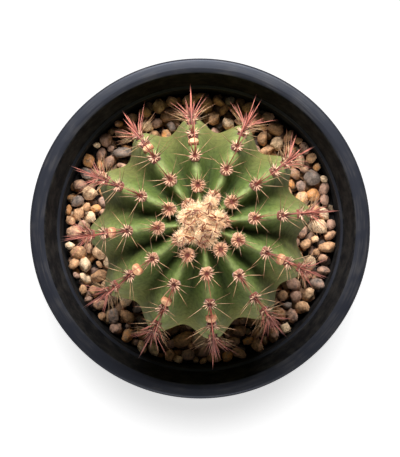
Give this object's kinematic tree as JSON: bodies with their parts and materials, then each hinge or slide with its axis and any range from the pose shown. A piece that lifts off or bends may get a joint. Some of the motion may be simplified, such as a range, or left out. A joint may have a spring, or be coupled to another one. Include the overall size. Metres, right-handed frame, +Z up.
{
  "type": "potted columnar cactus",
  "caption": "Upright ribbed cactus with rows of spined felt cushions and a woolly crown, in gravel in a round dark nursery pot with a rolled rim.",
  "frame": {"origin": "on the pot's axis, in the plane of the foot ring that the pot stands on", "axes": "+Z up along the pot's axis, +Y towards the side that the crown leans to, +X to its right seen from above"},
  "size_m": [0.15, 0.15, 0.2324],
  "materials": {
    "pot_plastic": "moulded satin, near black",
    "potting_soil": "crumbly dark potting mix",
    "gravel_stone": "dull tan, pink and grey stones",
    "cactus_skin": "dull waxy green skin"
  },
  "bodies": {
    "root": {"pot": "pot_plastic", "soil": "potting_soil", "gravel": "gravel_stone", "cactus": "cactus_skin"}
  },
  "joints": []
}
